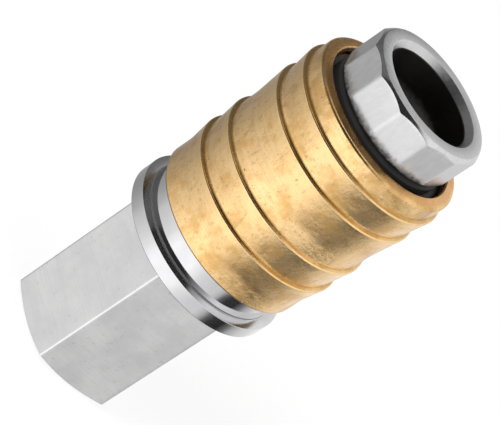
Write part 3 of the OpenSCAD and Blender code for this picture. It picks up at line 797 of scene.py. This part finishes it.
# %% Poppet
poppet_corners = [
    (0.0, 27.5, 0.0), (1.2, 27.5, 0.05), (1.5, 27.8, 0.05), (1.5, 39.1256, 0.05), (3.75, 39.3256, 0.05),
    (3.75, 40.3256, 0.03), (7.6, 40.3256, 0.08), (7.6, 41.7256, 0.05),
    *arc_points((6.6, 41.9478), 0.77, 0.6, -270.6, 20, 0.01), (6.1, 43.2256, 0.04),
    (5.9, 43.2256, 0.03), (5.9, 47.7292, 0.15), (4.6, 47.7292, 0.12), (4.6, 43.2256, 0.08),
    (0.0, 43.2256, 0.0)]
poppet_outline = eased(poppet_corners, 3, closed=False)
poppet = turned("valve_poppet_dressed", poppet_outline, brass_valve, 120, closed=False)
SLOT_LOW, SLOT_HEIGHT, SLOT_HALF, SLOT_REACH = 43.8256, 6.0, 1.5, 7.0
cube_corners = np.array([(x, y, z) for x in (-1, 1) for y in (-1, 1) for z in (0, 1)], float)
cube_faces = [[0, 1, 3, 2], [4, 6, 7, 5], [0, 4, 5, 1], [2, 3, 7, 6], [0, 2, 6, 4], [1, 5, 7, 3]]
for half_x, half_y in ((SLOT_REACH, SLOT_HALF), (SLOT_HALF, SLOT_REACH)):
    carve(poppet, cube_corners * [half_x, half_y, SLOT_HEIGHT] + [0, 0, SLOT_LOW], cube_faces)
dress(poppet, "valve", "valve_brass", "valve_poppet")

# %% Valve guide
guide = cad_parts["valve_guide"]
guide.data.materials.clear()
guide.data.materials.append(brass_valve)
print("valve_guide keeps its CAD mesh of", len(guide.data.polygons), "faces")

# %% [markdown]
# ## Springs
# A spring is a circle carried along a helix, whose first and last turn lie close together and are
# ground flat: the height is simply cut off at the seats.

# %% Springs
def coil(name, mean, wire, turns, low, high, per_turn=64, sides=20):
    """((m + w cos b) cos a, (m + w cos b) sin a, h(a) + w sin b), with w half the wire and h the helix."""
    t = np.linspace(0, turns, int(turns * per_turn) + 1)[:, None]
    lead = wire * 0.86
    pitch = (high - low - wire - 2 * lead) / (turns - 2)
    rise = low + wire / 2 + np.where(t < 1, t * lead, np.where(
        t > turns - 1, high - low - wire - (turns - t) * lead, lead + (t - 1) * pitch))
    a, b = 2 * math.pi * t, full_turn(sides)[None, :]
    spread = mean + wire / 2 * np.cos(b)
    z = np.clip(rise + wire / 2 * np.sin(b), low, high)
    return grid_piece(name, np.stack([spread * np.cos(a), spread * np.sin(a), z], -1), steel_spring, 45,
                      close_rows=False)


sleeve_coil = coil("sleeve_spring_dressed", 12.13, 1.1, 6.5, BARREL_Z, 48.5292)
dress(sleeve_coil, "root", "spring_steel", "sleeve_spring")
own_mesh(sleeve_coil)
valve_coil = coil("valve_spring_dressed", 4.3, 0.7, 5.5, 29.6, 40.3256)
dress(valve_coil, "root", "spring_steel", "valve_spring")
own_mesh(valve_coil)

# %% [markdown]
# ## Floor and light
# Polished metal is a picture of the room, and the lean of a surface decides which height of the room
# it shows. So the room is a stack of rings of grey, each with its own light for every direction round
# the axis. The low ring lights the nose's flats and the front half of the sleeve. The ring with the
# dark card, just under it, lights the polished cylinder, the collar and the hexagon, which stand
# further from the camera. The deep ring is for the sleeve's cones, which lean outwards, and the high
# ring for shoulders and chamfers that look up. A pale roof closes the room, and a dark backdrop stands
# where the photographer would stand. The camera itself sees plain white, and the floor keeps a soft
# shadow.

# %% Pale floor
floor_tree = Tree("pale floor")
path = floor_tree.add("ShaderNodeLightPath").outputs
seen = floor_tree.math("MAXIMUM", path["Is Camera Ray"], path["Is Transmission Ray"])
floor_material = floor_tree.surface(Base_Color=grey(0.92), Roughness=0.9)
glow = floor_tree.add("ShaderNodeEmission", {"Color": grey(1), "Strength": 1.08}).outputs[0]
clear = floor_tree.add("ShaderNodeBsdfTransparent").outputs[0]
lit_floor = {0: floor_tree.times(seen, 0.75), 1: floor_tree.shader.outputs[0], 2: glow}
white = floor_tree.add("ShaderNodeMixShader", lit_floor).outputs[0]
shown = floor_tree.add("ShaderNodeMixShader", {0: path["Is Glossy Ray"], 1: white, 2: clear}).outputs[0]
put_value(floor_tree.tree, floor_tree.tree.nodes["Material Output"].inputs["Surface"], shown)
floor_outline = np.array([(radius, -0.05) for radius in (0, 50, 200, 800)])
floor = grid_piece("floor", around_axis(floor_outline, full_turn(96)), floor_material, close_columns=False)
print("floor 1.6 m wide, made of", floor.material_slots[0].name)

# %% A ring of greys
world = bpy.data.worlds.new("studio")
bpy.context.scene.world = world
world.use_nodes = True
room_tree = world.node_tree
BRIGHTEST = 1.5


def ring_of_greys(around, stops):
    """A ramp of greys over one turn; a stop is (direction in degrees, light), from -180 to 180."""
    node = add_node(room_tree, "ShaderNodeValToRGB", {"Fac": around})
    ramp = node.color_ramp
    ramp.interpolation = "LINEAR"
    for degrees, light in stops:
        at = (degrees + 180) / 360
        element = ramp.elements[-1] if at == 1 else ramp.elements[0] if at == 0 else ramp.elements.new(at)
        element.color = grey(light / BRIGHTEST)
    print("ring of", len(ramp.elements), "greys from", min(stops, key=lambda stop: stop[1]), "to",
          max(stops, key=lambda stop: stop[1]))
    return node.outputs["Color"]


def world_mix(share, first, second):
    """The first colour where share is 0, and the second where it is 1."""
    colours = {0: share, 6: first, 7: second}
    return add_node(room_tree, "ShaderNodeMix", colours, data_type="RGBA").outputs[2]


def step_share(value, none_at, all_at):
    """0 where a value lies before the first limit, 1 past the second, smooth in between."""
    limits = {"Value": value, "From Min": none_at, "From Max": all_at}
    return add_node(room_tree, "ShaderNodeMapRange", limits, interpolation_type="SMOOTHSTEP").outputs[0]


print("world", world.name, "with light up to", BRIGHTEST)

# %% Directions in the room
ray_way = add_node(room_tree, "ShaderNodeTexCoord").outputs["Generated"]
by_roll = {"Vector": ray_way, "Axis": (0, 0, 1), "Angle": ROLL}
turned_way = add_node(room_tree, "ShaderNodeVectorRotate", by_roll, rotation_type="AXIS_ANGLE").outputs[0]
way = add_node(room_tree, "ShaderNodeSeparateXYZ", {0: turned_way}).outputs
bearing = add_node(room_tree, "ShaderNodeMath", {0: way["Y"], 1: way["X"]}, operation="ARCTAN2").outputs[0]
bearing_limits = {"Value": bearing, "From Min": -math.pi, "From Max": math.pi}
around_share = add_node(room_tree, "ShaderNodeMapRange", bearing_limits).outputs[0]
print("the world turns with the camera's roll of", round(math.degrees(ROLL), 2), "degrees")

# %% Four rings of the room
low_ring = ring_of_greys(around_share, [
    (-180, 0.84), (-154, 0.86), (-130, 0.86), (-98, 0.85), (-70, 0.36), (-46, 0.34), (-22, 0.42), (2, 0.62),
    (14, 0.84), (21, 0.92), (26, 0.50), (31, 0.92), (50, 1.10), (64, 1.42), (108, 1.42), (121, 1.18),
    (136, 1.02), (158, 0.92), (180, 0.84)])
card_ring = ring_of_greys(around_share, [
    (-180, 0.03), (-176, 0.03), (-166, 0.20), (-156, 0.55), (-144, 0.80), (-118, 0.95), (-98, 0.88),
    (-70, 0.36), (-46, 0.34), (-22, 0.42), (2, 0.58), (14, 0.76), (26, 0.84), (50, 1.02), (68, 1.30),
    (100, 1.30), (114, 1.05), (126, 0.90), (146, 0.78), (154, 0.58), (161, 0.14), (168, 0.04), (180, 0.03)])
deep_ring = ring_of_greys(around_share, [
    (-180, 0.32), (-170, 0.42), (-154, 0.58), (-130, 0.85), (-98, 0.88), (-70, 0.40), (-46, 0.34),
    (-22, 0.42), (2, 0.62), (26, 0.80), (50, 0.98), (68, 1.30), (100, 1.30), (114, 1.05), (126, 0.75),
    (136, 0.50), (150, 0.19), (162, 0.18), (180, 0.32)])
high_ring = ring_of_greys(around_share, [
    (-180, 1.05), (-140, 0.98), (-98, 0.95), (-90, 0.64), (-84, 0.16), (-48, 0.13), (-8, 0.18), (25, 0.16),
    (118, 0.30), (138, 0.60), (150, 0.95), (164, 1.15), (180, 1.05)])

# %% The whole room
upright = world_mix(step_share(way["Z"], -0.462, -0.485), low_ring, card_ring)
lower_half = world_mix(step_share(way["Z"], -0.56, -0.62), upright, deep_ring)
rings = world_mix(step_share(way["Z"], -0.12, 0.2), lower_half, high_ring)
roofed = world_mix(step_share(way["Z"], 0.75, 0.9), rings, grey(0.8 / BRIGHTEST))
brightened = {0: roofed, "Scale": BRIGHTEST}
lit = add_node(room_tree, "ShaderNodeVectorMath", brightened, operation="SCALE").outputs[0]
dark_height, dark_bearing = math.radians(45), math.radians(75)
dark_way = (math.cos(dark_height) * math.cos(dark_bearing), math.cos(dark_height) * math.sin(dark_bearing),
            math.sin(dark_height))
both_ways = {0: turned_way, 1: dark_way}
nearness = add_node(room_tree, "ShaderNodeVectorMath", both_ways, operation="DOT_PRODUCT").outputs["Value"]
backdrop = step_share(nearness, 0.755, 0.84)
room = world_mix(backdrop, lit, grey(0.03))
light_path = add_node(room_tree, "ShaderNodeLightPath").outputs
for_metal = world_mix(light_path["Is Glossy Ray"], grey(0.55), room)
plain_rays = {0: light_path["Is Camera Ray"], 1: light_path["Is Transmission Ray"]}
plain = add_node(room_tree, "ShaderNodeMath", plain_rays, operation="MAXIMUM").outputs[0]
put_value(room_tree, room_tree.nodes["Background"].inputs["Color"], world_mix(plain, for_metal, grey(1)))
print("world of", len(room_tree.nodes), "nodes")

# %% Studio lamps
LAMP_AIM = np.array([0, 0, 0.035])


def lamp(name, bearing_degrees, height_degrees, distance, width, power):
    """A square area lamp on a sphere round the coupler, facing its middle."""
    a, e = math.radians(bearing_degrees) - ROLL, math.radians(height_degrees)
    out = np.array([math.cos(a) * math.cos(e), math.sin(a) * math.cos(e), math.sin(e)])
    side = np.cross([0, 0, 1.0], out)
    side /= np.linalg.norm(side)
    data = bpy.data.lights.new(name, "AREA")
    data.shape, data.size, data.energy = "SQUARE", width, power
    softbox = bpy.data.objects.new(name, data)
    bpy.context.scene.collection.objects.link(softbox)
    stand = np.eye(4)
    stand[:3] = np.stack([side, np.cross(out, side), out, out * distance + LAMP_AIM], -1)
    softbox.matrix_world = Matrix(stand.tolist())
    softbox.visible_glossy = False
    print(name, "at", stand[:3, 3].round(2))


lamp("key_softbox", 40, 50, 0.9, 0.5, 4.0)
lamp("fill_softbox", 150, 35, 0.9, 0.6, 1.5)
